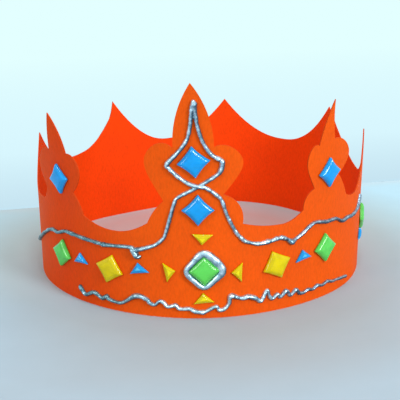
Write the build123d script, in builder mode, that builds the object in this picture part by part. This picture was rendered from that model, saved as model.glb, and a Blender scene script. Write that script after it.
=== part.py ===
from build123d import *
from dataclasses import dataclass
import math
import os

os.makedirs("parts", exist_ok=True)

# A child's party crown: one strip of orange card, cut along its top into three
# fleurs and five spikes, rolled into a ring, glued over a lap at the back and
# trimmed with flat-backed gems and beads of silver relief paint.
# Millimetres, +Z up. The rim stands on Z = 0 and the tall fleur faces -Y.
# Places round the ring are turns in degrees, 0 at the front, positive towards +X.

# Card strip
head_girth = 535.0
card_thickness = 0.5
band_height = 38.0
lap_turn = 187.0
lap_length = 25.0
flare_start = 36.0
flare_end = 106.0
flare_out = 5.0
plan_shares = (1.028, 1.014, 1.008, 0.973, 0.991, 1.047, 1.009, 0.913, 0.960, 0.973, 1.011, 1.025)
face_stations = 36
flare_levels = 3
waste_margin = 9.9
waste_depth = 22.0
dip_flat = 2.0

# Silver relief paint, about half round in section
bead_width = 1.8
bead_height = 1.3
bead_facets = 6
bead_clearance = 0.25
crossing_lift = 0.45
join_lift = 0.12
strand_top_share = 0.8405
blob_rise = 1.6
bead_run = 9.0
bend_share = 0.25
blob_swell = 1.5
end_swell = 1.15
end_taper = 0.45
setting_width = 2.4
setting_height = 1.5
setting_corner_turn = 9.0
setting_corner_cut = 0.5
setting_bite = 0.2

# Square gems
gem_side = 10.0
gem_girdle = 0.9
gem_bevel_width = 1.9
gem_bevel_height = 1.3
glue_film = 0.12

# Triangular gems
chip_base = 9.2
chip_height = 4.9
chip_girdle = 0.6
chip_bevel_width = 0.9
chip_bevel_height = 0.8


@dataclass(frozen=True)
class Place:
    """Where a gem sits: turn, height, and how far it is turned anticlockwise seen from outside."""

    turn: float
    height: float
    spin: float


@dataclass(frozen=True)
class Flank:
    """One side of a fleur: turning points as (distance from its axis, share of its rise)."""

    foot: tuple
    shoulder: tuple
    neck: tuple
    belly: tuple
    lobe: tuple
    crest: tuple
    notch: tuple
    spire: tuple


@dataclass(frozen=True)
class Fleur:
    """A three-lobed point of the crown, with its axis at a turn round the ring."""

    turn: float
    tip_height: float
    tip_lean: float
    left: Flank
    right: Flank

    def level(self, share):
        """Height at a share of the way from the plain band to the fleur's tip."""
        return band_height + share * (self.tip_height - band_height)


@dataclass(frozen=True)
class Spike:
    """A plain point of the crown between two hollows."""

    turn: float
    tip_height: float


@dataclass(frozen=True)
class Dip:
    """The lowest place of the card's edge between two points of the crown."""

    turn: float
    height: float


front_fleur = Fleur(
    turn=0.0,
    tip_height=105.1,
    tip_lean=-0.9,
    left=Flank(
        foot=(20.3, 0.083),
        shoulder=(17.0, 0.173),
        neck=(12.8, 0.238),
        belly=(18.6, 0.39),
        lobe=(20.4, 0.522),
        crest=(14.4, 0.618),
        notch=(8.3, 0.592),
        spire=(7.0, 0.781),
    ),
    right=Flank(
        foot=(21.2, 0.077),
        shoulder=(19.8, 0.2),
        neck=(12.6, 0.283),
        belly=(18.7, 0.404),
        lobe=(20.8, 0.489),
        crest=(12.9, 0.607),
        notch=(8.5, 0.596),
        spire=(6.3, 0.79),
    ),
)
right_fleur = Fleur(
    turn=43.4,
    tip_height=93.7,
    tip_lean=0.3,
    left=Flank(
        foot=(13.4, 0.131),
        shoulder=(11.6, 0.239),
        neck=(7.4, 0.291),
        belly=(10.5, 0.397),
        lobe=(12.3, 0.548),
        crest=(8.1, 0.652),
        notch=(6.4, 0.643),
        spire=(3.7, 0.826),
    ),
    right=Flank(
        foot=(16.6, 0.156),
        shoulder=(12.6, 0.275),
        neck=(8.4, 0.363),
        belly=(12.9, 0.422),
        lobe=(15.9, 0.503),
        crest=(10.6, 0.641),
        notch=(3.1, 0.675),
        spire=(1.3, 0.826),
    ),
)
left_fleur = Fleur(
    turn=-47.8,
    tip_height=86.9,
    tip_lean=-1.6,
    left=Flank(
        foot=(15.5, 0.112),
        shoulder=(13.0, 0.174),
        neck=(11.2, 0.245),
        belly=(14.5, 0.315),
        lobe=(18.5, 0.419),
        crest=(12.0, 0.624),
        notch=(4.6, 0.632),
        spire=(3.6, 0.859),
    ),
    right=Flank(
        foot=(17.5, 0.092),
        shoulder=(14.6, 0.215),
        neck=(11.5, 0.292),
        belly=(15.6, 0.399),
        lobe=(16.7, 0.487),
        crest=(14.0, 0.618),
        notch=(8.9, 0.65),
        spire=(5.6, 0.822),
    ),
)
right_spike = Spike(turn=75.0, tip_height=71.5)
right_back_spike = Spike(turn=122.0, tip_height=69.4)
back_spike = Spike(turn=173.4, tip_height=66.5)
left_back_spike = Spike(turn=222.7, tip_height=70.2)
left_spike = Spike(turn=270.1, tip_height=65.0)
tips = (
    front_fleur,
    right_fleur,
    left_fleur,
    right_spike,
    right_back_spike,
    back_spike,
    left_back_spike,
    left_spike,
)
waste_top = max(point.tip_height for point in tips) + waste_margin

front_right_dip = Dip(turn=26.2, height=40.7)
right_side_dip = Dip(turn=60.5, height=44.6)
right_back_dip = Dip(turn=92.0, height=44.8)
back_right_dip = Dip(turn=147.7, height=44.0)
back_left_dip = Dip(turn=198.2, height=43.6)
left_back_dip = Dip(turn=243.6, height=42.6)
left_side_dip = Dip(turn=293.4, height=42.5)
front_left_dip = Dip(turn=335.4, height=38.3)


def build_plan():
    """The crown's outline seen from above, a slightly uneven ring."""
    mean_reach = head_girth / (2 * math.pi)
    stations = []
    for index, share in enumerate(plan_shares):
        angle = math.radians(index * 360 / len(plan_shares))
        stations.append(mean_reach * share * Vector(math.sin(angle), -math.cos(angle)))
    return Edge.make_spline(stations, periodic=True)


plan = build_plan()


def mm_to_turn(distance):
    """Turn that a distance along the card covers."""
    return distance * 360 / head_girth


lap = mm_to_turn(lap_length)


def along_card(turn):
    """Direction along the card, towards growing turns."""
    return plan.tangent_at(turn % 360 / 360)


def away_from_card(turn):
    """Direction straight out of the card."""
    along = along_card(turn)
    return Vector(along.Y, -along.X, 0)


def flare(height):
    """How far the crown leans outward at a height."""
    rise = max(0.0, height - flare_start) / (flare_end - flare_start)
    return flare_out * rise**2


def lap_step(strip_turn):
    """How far the strip has wound outward since its inner end."""
    return card_thickness * (strip_turn - lap_turn) / 360


def off_plan(turn, height, outward):
    """A point a distance outside the plan."""
    return plan.position_at(turn % 360 / 360) + outward * away_from_card(turn) + Vector(0, 0, height)


def on_card(turn, height, outward=0.0):
    """A point on the card's outer face, or a distance outside it."""
    strip_turn = lap_turn + lap + (turn - lap_turn - lap) % 360
    return off_plan(turn, height, flare(height) + lap_step(strip_turn) + outward)


def face_points(height, start, depth):
    """Points of one face of the strip at a height, from a turn once round."""
    points = []
    for index in range(face_stations + 1):
        strip_turn = start + index * 360 / face_stations
        points.append(off_plan(strip_turn, 0, flare(height) + lap_step(strip_turn) - depth))
    return points


def face_outline(height, start, depth):
    """One face of the strip at a height: a chain of short arcs, closed at the lap."""
    points = face_points(height, start, depth)
    with BuildSketch() as outline:
        with BuildLine():
            for first, middle, last in zip(points[::2], points[1::2], points[2::2]):
                ThreePointArc(first, middle, last)
            Line(points[-1], points[0])
        make_face()
    return outline.sketch


def face_form(start, depth):
    """Solid bounded by one face of the strip: upright below, leaning out above."""
    rise = (waste_top - flare_start) / flare_levels
    with BuildPart() as form:
        with BuildSketch(Plane.XY):
            add(face_outline(0, start, depth))
        extrude(amount=flare_start)
        for level in range(flare_levels + 1):
            height = flare_start + level * rise
            with BuildSketch(Plane.XY.offset(height)):
                add(face_outline(height, start, depth))
        loft()
    return form.part


def upright_plane(turn):
    """Upright plane touching the card: X along the card, Y up, Z straight out."""
    return Plane(origin=on_card(turn, 0), x_dir=along_card(turn), z_dir=away_from_card(turn))


def leaning_plane(turn, height):
    """Plane touching the card at a height, leaning with it."""
    slope = 2 * flare_out * max(0.0, height - flare_start) / (flare_end - flare_start) ** 2
    straight_out = away_from_card(turn) - Vector(0, 0, slope)
    return Plane(origin=on_card(turn, height), x_dir=along_card(turn), z_dir=straight_out)


def spot_on(plane, turn, height):
    """Where a place on the card lies in an upright plane."""
    spot = plane.to_local_coords(on_card(turn, height))
    return Vector(spot.X, spot.Y)


def spike_waste(spike, before, after):
    """Offcut above a spike and the two hollows beside it."""
    plane = upright_plane(spike.turn)
    tip = spot_on(plane, spike.turn, spike.tip_height)
    corners = []
    with BuildPart() as waste:
        with BuildSketch(plane):
            with BuildLine():
                for dip, side in ((before, -1), (after, 1)):
                    low = spot_on(plane, dip.turn, dip.height)
                    overlap = Vector(side * dip_flat / 2, 0)
                    corner = spot_on(plane, dip.turn, waste_top) + overlap
                    Bezier(tip, Vector((tip.X + low.X) / 2, low.Y), low - overlap)
                    Polyline(low - overlap, low + overlap, corner)
                    corners.append(corner)
                Line(corners[0], corners[1])
            make_face()
        extrude(amount=waste_depth, both=True)
    return waste.part


def fleur_waste(fleur, before, after):
    """Offcut above a fleur and the two hollows beside it."""
    plane = upright_plane(fleur.turn)
    tip = spot_on(plane, fleur.turn + mm_to_turn(fleur.tip_lean), fleur.tip_height)
    corners = []
    with BuildPart() as waste:
        with BuildSketch(plane):
            with BuildLine():
                for flank, dip, side in ((fleur.left, before, -1), (fleur.right, after, 1)):
                    spots = {
                        name: spot_on(plane, fleur.turn + side * mm_to_turn(distance), fleur.level(share))
                        for name, (distance, share) in vars(flank).items()
                    }
                    low = spot_on(plane, dip.turn, dip.height)
                    overlap = Vector(side * dip_flat / 2, 0)
                    corner = spot_on(plane, dip.turn, waste_top) + overlap
                    foot = spots["foot"]
                    ThreePointArc(tip, spots["spire"], spots["notch"])
                    Spline(spots["notch"], spots["crest"], spots["lobe"], spots["belly"], spots["neck"])
                    ThreePointArc(spots["neck"], spots["shoulder"], foot)
                    Bezier(foot, Vector((foot.X + low.X) / 2, low.Y), low - overlap)
                    Polyline(low - overlap, low + overlap, corner)
                    corners.append(corner)
                Line(corners[0], corners[1])
            make_face()
        extrude(amount=waste_depth, both=True)
    return waste.part


def full_spot(place):
    """A place as (turn, height, lift, swell), where lift and swell may be left out."""
    plain = (0.0, 1.0)
    return tuple(place) + plain[len(place) - 2 :]


def between(start, end, share):
    """Spot at a share of the way from one spot to another."""
    return tuple(first + share * (last - first) for first, last in zip(start, end))


def bead_spots(places):
    """Spots along a strand, close together and with bends cut short."""
    spots = [full_spot(places[0])]
    for place in places[1:]:
        start = spots[-1]
        end = full_spot(place)
        run = math.hypot((end[0] - start[0]) * head_girth / 360, end[1] - start[1])
        steps = math.ceil(run / bead_run)
        spots += [between(start, end, step / steps) for step in range(1, steps + 1)]
    softened = [spots[0]]
    for before, here, after in zip(spots, spots[1:], spots[2:]):
        softened += [between(here, before, bend_share), between(here, after, bend_share)]
    return softened + [spots[-1]]


def bead_planes(spots, closed=False):
    """Section planes along a bead: origin on its flat back, X out of the card, Z along it."""
    points = [on_card(turn, height, bead_clearance + lift) for turn, height, lift, swell in spots]
    if closed:
        chain = [points[-1], *points, points[0]]
    else:
        chain = [points[0] * 2 - points[1], *points, points[-1] * 2 - points[-2]]
    planes = []
    for spot, before, here, after in zip(spots, chain, chain[1:], chain[2:]):
        heading = (here - before).normalized() + (after - here).normalized()
        planes.append(Plane(origin=here, x_dir=leaning_plane(*spot[:2]).z_dir, z_dir=heading))
    return planes


def bead_along(planes, swells, width, height):
    """A bead of silver paint through its section planes, flat-backed and about half round."""
    angles = [math.pi * facet / bead_facets for facet in range(bead_facets + 1)]
    section = [Vector(height * math.sin(angle), -width / 2 * math.cos(angle)) for angle in angles]
    with BuildPart() as bead:
        for plane, swell in zip(planes, swells):
            with BuildSketch(plane):
                with BuildLine():
                    Polyline(*[corner * swell for corner in section], close=True)
                make_face()
        loft(ruled=True)
    return bead.part


def bead_strand(places):
    """A strand of silver paint through places on the card."""
    spots = bead_spots(places)
    return bead_along(bead_planes(spots), [spot[3] for spot in spots], bead_width, bead_height)


def square_gem(place):
    """Square flat-backed gem, bevelled all round, glued to the card with a corner up."""
    seat = leaning_plane(place.turn, place.height)
    with BuildPart() as gem:
        with BuildSketch(seat.offset(glue_film)):
            Rectangle(gem_side, gem_side, rotation=45 + place.spin)
        extrude(amount=gem_girdle + gem_bevel_height)
        top = gem.faces().sort_by(Axis(seat.origin, seat.z_dir))[-1]
        chamfer(top.edges(), length=gem_bevel_width, length2=gem_bevel_height, reference=top)
    return gem.part


def triangle_gem(place):
    """Small triangular flat-backed gem, bevelled all round, glued to the card."""
    seat = leaning_plane(place.turn, place.height)
    corners = (
        (-chip_base / 2, -chip_height / 3),
        (chip_base / 2, -chip_height / 3),
        (0, chip_height * 2 / 3),
    )
    with BuildPart() as chip:
        with BuildSketch(seat.offset(glue_film)):
            Polygon(*corners, rotation=place.spin, align=None)
        extrude(amount=chip_girdle + chip_bevel_height)
        top = chip.faces().sort_by(Axis(seat.origin, seat.z_dir))[-1]
        chamfer(top.edges(), length=chip_bevel_width, length2=chip_bevel_height, reference=top)
    return chip.part


# The crown's outer form, on which gems and beads sit, and the hollow inside it
crown_form = face_form(lap_turn + lap, 0)
crown_hollow = face_form(lap_turn, card_thickness)

# Card strip with its top cut to fleurs, spikes and hollows
with BuildPart() as card_crown:
    add(crown_form)
    add(crown_hollow, mode=Mode.SUBTRACT)
    add(fleur_waste(front_fleur, front_left_dip, front_right_dip), mode=Mode.SUBTRACT)
    add(fleur_waste(right_fleur, front_right_dip, right_side_dip), mode=Mode.SUBTRACT)
    add(fleur_waste(left_fleur, left_side_dip, front_left_dip), mode=Mode.SUBTRACT)
    add(spike_waste(right_spike, right_side_dip, right_back_dip), mode=Mode.SUBTRACT)
    add(spike_waste(right_back_spike, right_back_dip, back_right_dip), mode=Mode.SUBTRACT)
    add(spike_waste(back_spike, back_right_dip, back_left_dip), mode=Mode.SUBTRACT)
    add(spike_waste(left_back_spike, back_left_dip, left_back_dip), mode=Mode.SUBTRACT)
    add(spike_waste(left_spike, left_back_dip, left_side_dip), mode=Mode.SUBTRACT)
card_crown.part.label = "card_crown"
export_step(card_crown.part, "parts/card_crown.step")

# Square gems
square_places = {
    "blue_gem_top": Place(front_fleur.turn + 0.1, front_fleur.level(0.503), 7),
    "blue_gem_low": Place(front_fleur.turn + 1.2, front_fleur.level(0.186), 0),
    "blue_gem_left": Place(left_fleur.turn + 1.8, left_fleur.level(0.389), 8),
    "blue_gem_right": Place(right_fleur.turn + 0.6, right_fleur.level(0.404), 3),
    "green_gem_middle": Place(2.8, 22.8, 1),
    "green_gem_left": Place(-47.0, 20.6, -8),
    "green_gem_right": Place(43.8, 24.7, 2),
    "green_gem_side": Place(80.0, 24.3, 0),
    "yellow_gem_left": Place(-26.4, 20.1, -13),
    "yellow_gem_right": Place(25.1, 22.4, 20),
}
square_gems = {name: square_gem(place) for name, place in square_places.items()}
for name, gem in square_gems.items():
    gem.label = name
    export_step(gem, f"parts/{name}.step")

# Triangular gems
triangle_places = {
    "yellow_chip_top": Place(2.4, 37.9, 177),
    "yellow_chip_bottom": Place(2.7, 9.1, 5),
    "yellow_chip_left": Place(-7.6, 21.9, -78),
    "yellow_chip_right": Place(13.0, 21.1, 88),
    "blue_chip_left_inner": Place(-16.6, 21.8, 10),
    "blue_chip_left_outer": Place(-37.9, 20.8, 5),
    "blue_chip_right": Place(34.7, 23.5, 8),
    "blue_chip_side": Place(73.9, 17.6, 0),
}
for name, place in triangle_places.items():
    chip = triangle_gem(place)
    chip.label = name
    export_step(chip, f"parts/{name}.step")

# Silver bead strands. Each place is (turn, height), where needed with its lift off the
# card, as at the crossing, and its swell, as at a thick blob or a tapered end.
climb = front_fleur.level
strand_top = climb(strand_top_share)
left_strand = (
    (-73.6, 14.6, 0, end_taper),
    (-73.0, 15.2, 0, end_swell),
    (-66.0, 20.3),
    (-59.2, 25.7),
    (-53.7, 29.5),
    (-49.0, 29.9),
    (-44.9, 32.0),
    (-40.4, 32.0),
    (-37.9, 31.8),
    (-29.2, 31.2),
    (-28.3, 31.0, 0, blob_swell),
    (-27.4, 31.0),
    (-19.3, 31.8),
    (-17.7, 30.8, 0, blob_swell),
    (-12.4, 33.3),
    (-10.8, 34.6),
    (-9.3, 36.6),
    (-8.2, climb(0.021)),
    (-5.7, climb(0.218)),
    (-4.7, climb(0.249)),
    (6.4, climb(0.407)),
    (7.6, climb(0.446)),
    (8.0, climb(0.484)),
    (7.7, climb(0.51)),
    (5.0, climb(0.55)),
    (3.0, climb(0.629)),
    (1.6, climb(0.726)),
    (0.95, strand_top),
    (0.4, strand_top + blob_rise, 0, blob_swell),
    (0.1, strand_top + blob_rise + bead_width / 2, 0, end_taper),
)
right_strand = (
    (-0.1, strand_top + blob_rise / 2, join_lift),
    (-0.3, strand_top, join_lift),
    (-1.2, climb(0.726)),
    (-4.2, climb(0.578)),
    (-7.1, climb(0.49)),
    (-6.7, climb(0.461)),
    (-4.1, climb(0.404)),
    (-1.2, climb(0.361)),
    (1.6, climb(0.341), crossing_lift),
    (3.6, climb(0.331)),
    (6.9, climb(0.274)),
    (8.1, climb(0.237)),
    (9.5, climb(0.145)),
    (12.0, climb(0.033)),
    (13.6, 37.1),
    (15.3, 35.0),
    (19.0, 33.4),
    (26.2, 34.2),
    (29.7, 32.4),
    (30.4, 32.5, 0, blob_swell),
    (31.7, 32.8),
    (34.4, 34.8),
    (36.5, 36.8),
    (39.2, 38.2),
    (44.2, 37.0),
    (48.7, 36.8),
    (52.4, 34.3),
    (55.7, 34.6),
    (60.3, 34.0),
    (65.2, 35.1),
    (67.5, 37.9),
    (69.0, 40.0, 0, end_swell),
    (69.4, 40.6, 0, end_taper),
)
drip = (
    (-17.8, 31.0, join_lift),
    (-17.5, 29.4, 0, end_swell),
    (-17.2, 27.8, 0, end_taper),
)
lower_strand = (
    (-39.2, 7.5, 0, end_taper),
    (-38.7, 7.1, 0, end_swell),
    (-36.2, 4.1),
    (-32.8, 6.4),
    (-29.7, 4.7),
    (-28.0, 6.2),
    (-27.0, 4.9),
    (-22.7, 4.5),
    (-17.9, 9.0),
    (-14.4, 8.0),
    (-13.5, 6.5),
    (-11.9, 5.7),
    (-10.4, 7.7),
    (-9.1, 7.1),
    (-7.9, 5.3),
    (-5.6, 6.0),
    (-4.4, 4.6),
    (-1.4, 4.7),
    (0.1, 3.5),
    (1.8, 3.1),
    (3.3, 3.4),
    (6.3, 5.6),
    (7.2, 3.9),
    (8.7, 4.1),
    (10.2, 6.6),
    (10.8, 10.1),
    (13.9, 8.6),
    (16.1, 9.0),
    (20.2, 6.1),
    (22.0, 10.8),
    (22.9, 7.7),
    (23.9, 6.2),
    (25.6, 7.9),
    (26.6, 6.1),
    (28.7, 8.7),
    (30.2, 6.0),
    (32.3, 8.0),
    (33.6, 5.9),
    (36.3, 5.9),
    (39.1, 7.3),
    (41.4, 5.4),
    (43.6, 7.0),
    (47.2, 4.9),
    (51.2, 5.5),
    (56.8, 4.2, 0, end_swell),
    (57.4, 4.0, 0, end_taper),
)


# Upper bead: two strands that cross on the front fleur and meet in a blob, and a drip
with BuildPart() as upper_bead:
    add(bead_strand(left_strand))
    add(bead_strand(right_strand))
    add(bead_strand(drip))
upper_bead.part.label = "upper_bead"
export_step(upper_bead.part, "parts/upper_bead.step")

# Lower bead: one wavy strand near the rim
with BuildPart() as lower_bead:
    add(bead_strand(lower_strand))
lower_bead.part.label = "lower_bead"
export_step(lower_bead.part, "parts/lower_bead.step")

# Silver setting: a bead all round the middle gem, its inner side against the gem
middle = square_places["green_gem_middle"]
corner_reach = (gem_side / 2 + setting_width / 2 - setting_bite) * math.sqrt(2)
ring = []
for quarter in range(4):
    for swing in (-setting_corner_turn, 0, setting_corner_turn):
        angle = math.radians(middle.spin + quarter * 90 + swing)
        reach = corner_reach - setting_corner_cut * (swing == 0)
        turn = middle.turn + mm_to_turn(reach * math.cos(angle))
        ring.append(full_spot((turn, middle.height + reach * math.sin(angle))))
ring_planes = bead_planes(ring, closed=True)
half = len(ring) // 2
halves = (ring_planes[: half + 1], ring_planes[half:] + ring_planes[:1])
with BuildPart() as silver_setting:
    for planes in halves:
        add(bead_along(planes, [1.0] * len(planes), setting_width, setting_height))
    add(square_gems["green_gem_middle"], mode=Mode.SUBTRACT)
silver_setting.part.label = "silver_setting"
export_step(silver_setting.part, "parts/silver_setting.step")
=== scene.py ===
"""Looks of a paper party crown: orange card, flat-backed gems and silver relief paint.

Sizes are in metres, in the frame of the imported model: +Z up, the tall fleur towards -Y.
A place on the crown is a turn round the ring in degrees, 0 at the front, and a height.
"""

import logging
import math
from abc import ABC, abstractmethod
from bisect import bisect_right
from collections.abc import Iterator
from contextlib import contextmanager
from dataclasses import dataclass, field
from enum import Enum

import bpy
from bpy.types import Material, Mesh, MeshPolygon, Node, NodeSocket, NodeTree, Object
from mathutils import Matrix, Vector, noise
from mathutils.bvhtree import BVHTree

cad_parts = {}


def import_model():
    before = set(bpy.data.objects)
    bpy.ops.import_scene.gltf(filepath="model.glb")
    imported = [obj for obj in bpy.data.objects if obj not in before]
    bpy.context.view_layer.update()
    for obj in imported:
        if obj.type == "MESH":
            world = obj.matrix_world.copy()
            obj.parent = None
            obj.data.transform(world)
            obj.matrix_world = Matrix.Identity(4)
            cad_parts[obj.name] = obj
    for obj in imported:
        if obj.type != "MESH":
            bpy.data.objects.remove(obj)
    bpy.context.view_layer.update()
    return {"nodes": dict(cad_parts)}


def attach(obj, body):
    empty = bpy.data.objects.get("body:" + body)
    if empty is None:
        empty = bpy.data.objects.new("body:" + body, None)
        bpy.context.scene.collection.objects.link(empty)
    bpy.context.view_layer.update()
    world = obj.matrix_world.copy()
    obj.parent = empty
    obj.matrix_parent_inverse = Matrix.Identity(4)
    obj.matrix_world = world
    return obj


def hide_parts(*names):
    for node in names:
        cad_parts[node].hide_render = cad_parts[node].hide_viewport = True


LOG = logging.getLogger("paper_crown")

Colour = tuple[float, float, float]
Point = tuple[float, float, float]
Span = tuple[float, float]
Stops = tuple[tuple[float, Colour], ...]
Socket = NodeSocket
Inputs = dict[str | int, object]

MM = 0.001
GIRTH = 535.0  # of the ring, in millimetres
BLACK: Colour = (0.0, 0.0, 0.0)
WHITE: Colour = (1.0, 1.0, 1.0)


class Slot(Enum):
    """The record's material slots, apart from the gems' own."""

    CARD = "orange_card"
    SILVER = "silver_paint"


class Stone(Enum):
    """Colours of the plastic gems, by their material slots in the record."""

    BLUE = "blue_gem"
    GREEN = "green_gem"
    YELLOW = "yellow_gem"


class Outline(Enum):
    """Shapes that the gems are moulded in, by the word for each in the nodes' names."""

    SQUARE = "gem"
    TRIANGLE = "chip"


class CardSide(Enum):
    """Sides of the card, by the place of their material on it."""

    OUTER = 0
    INNER = 1
    EDGE = 2


class Blend(Enum):
    """Ways to lay one colour over another."""

    MULTIPLY = "MULTIPLY"
    SCREEN = "SCREEN"


class Sum(Enum):
    """Sums made of two numbers."""

    PRODUCT = "MULTIPLY"
    LARGER = "MAXIMUM"
    IS_MORE = "GREATER_THAN"


def shade(red: int, green: int, blue: int) -> Colour:
    """Turn a colour as seen on a screen into linear light, by the usual screen curve.

    Args:
        red: Red part, 0 to 255.
        green: Green part, 0 to 255.
        blue: Blue part, 0 to 255.

    Returns:
        The three parts as linear values, 0 to 1.
    """
    parts = []
    for value in (red, green, blue):
        share = value / 255
        parts.append(share / 12.92 if share <= 0.04045 else ((share + 0.055) / 1.055) ** 2.4)
    return (parts[0], parts[1], parts[2])


def scaled(colour: Colour, share: float) -> Colour:
    """Make a colour deeper or paler.

    Args:
        colour: The colour.
        share: What each part is multiplied by.

    Returns:
        The new colour, no part above 1.
    """
    red, green, blue = (min(1.0, part * share) for part in colour)
    return (red, green, blue)


def choose(piece: Object) -> None:
    """Make one object the only selected and the active one.

    Args:
        piece: The object to work on.
    """
    bpy.ops.object.select_all(action="DESELECT")
    piece.select_set(True)
    bpy.context.view_layer.objects.active = piece


@contextmanager
def edited(piece: Object) -> Iterator[None]:
    """Work on a piece in edit mode, at first with all of it selected.

    Args:
        piece: The piece.

    Yields:
        Nothing, while the piece is in edit mode.
    """
    choose(piece)
    bpy.ops.object.mode_set(mode="EDIT")
    bpy.ops.mesh.select_all(action="SELECT")
    yield
    bpy.ops.object.mode_set(mode="OBJECT")


def modify(piece: Object, kind: str, **settings: float | str) -> None:
    """Put a modifier on the active piece and apply it.

    Args:
        piece: The piece.
        kind: The kind of modifier.
        settings: The modifier's settings.
    """
    modifier = piece.modifiers.new(kind.lower(), kind)
    for name, value in settings.items():
        setattr(modifier, name, value)
    bpy.ops.object.modifier_apply(modifier=modifier.name)


def placed(name: str, mesh: Mesh) -> Object:
    """Put a mesh into the scene.

    Args:
        name: The new object's name.
        mesh: Its mesh.

    Returns:
        The object, at the origin.
    """
    piece = bpy.data.objects.new(name, mesh)
    bpy.context.collection.objects.link(piece)
    return piece


def dress(piece: Object, *materials: Material) -> None:
    """Give a piece its materials.

    Args:
        piece: The piece.
        materials: All its materials, in order.
    """
    piece.data.materials.clear()
    for material in materials:
        piece.data.materials.append(material)


def finish_piece(piece: Object, node: str) -> None:
    """Give a finished piece its body and the node that it stands for.

    Args:
        piece: The finished piece, its place in its mesh.
        node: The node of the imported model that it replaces.
    """
    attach(piece, "root")
    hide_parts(node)
    LOG.info("%s: %d faces, in place of %s", piece.name, len(piece.data.polygons), node)


class NodeBench:
    """A node tree under construction, with short ways to add and join its nodes."""

    def __init__(self, tree: NodeTree) -> None:
        """Start with the tree of a material or of the world, emptied."""
        self.tree = tree
        self.tree.nodes.clear()

    def fill(self, node: Node, inputs: Inputs) -> None:
        """Fill a node's inputs.

        Args:
            node: The node.
            inputs: For each input's name or number, the value set on it or the socket joined to it.
        """
        for key, value in inputs.items():
            if isinstance(value, Socket):
                self.tree.links.new(value, node.inputs[key])
            else:
                node.inputs[key].default_value = value

    def node(self, kind: str, inputs: Inputs | None = None, **settings: str) -> Node:
        """Add a node.

        Args:
            kind: The kind of shader node.
            inputs: What fills its inputs.
            settings: Its settings, made before its inputs are filled.

        Returns:
            The node.
        """
        node = self.tree.nodes.new(f"ShaderNode{kind}")
        for name, value in settings.items():
            setattr(node, name, value)
        self.fill(node, inputs or {})
        return node

    def ranged(
        self, value: Socket, start: float, end: float, low: float = 0.0, high: float = 1.0
    ) -> Socket:
        """Turn the range from start to end into the one from low to high, with nothing outside."""
        limits = {"From Min": start, "From Max": end, "To Min": low, "To Max": high}
        return self.node("MapRange", {"Value": value, **limits}).outputs["Result"]

    def sum_of(self, kind: Sum, first: Socket, second: Socket | float) -> Socket:
        """Make a sum of two numbers."""
        return self.node("Math", {0: first, 1: second}, operation=kind.value).outputs["Value"]

    def mixed(self, share: Socket, first: Socket, second: Socket) -> Socket:
        """Mix two shaders, by the second one's share."""
        return self.node("MixShader", {"Fac": share, 1: first, 2: second}).outputs["Shader"]

    def backdrop_rays(self) -> Socket:
        """Tell which rays see the plain backdrop: the camera's, and those in gloss and glass.

        Returns:
            A value, 1 for such a ray and 0 for others.
        """
        path = self.node("LightPath")
        seen = path.outputs["Is Camera Ray"]
        for name in ("Is Glossy Ray", "Is Transmission Ray"):
            seen = self.sum_of(Sum.LARGER, seen, path.outputs[name])
        return seen


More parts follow.
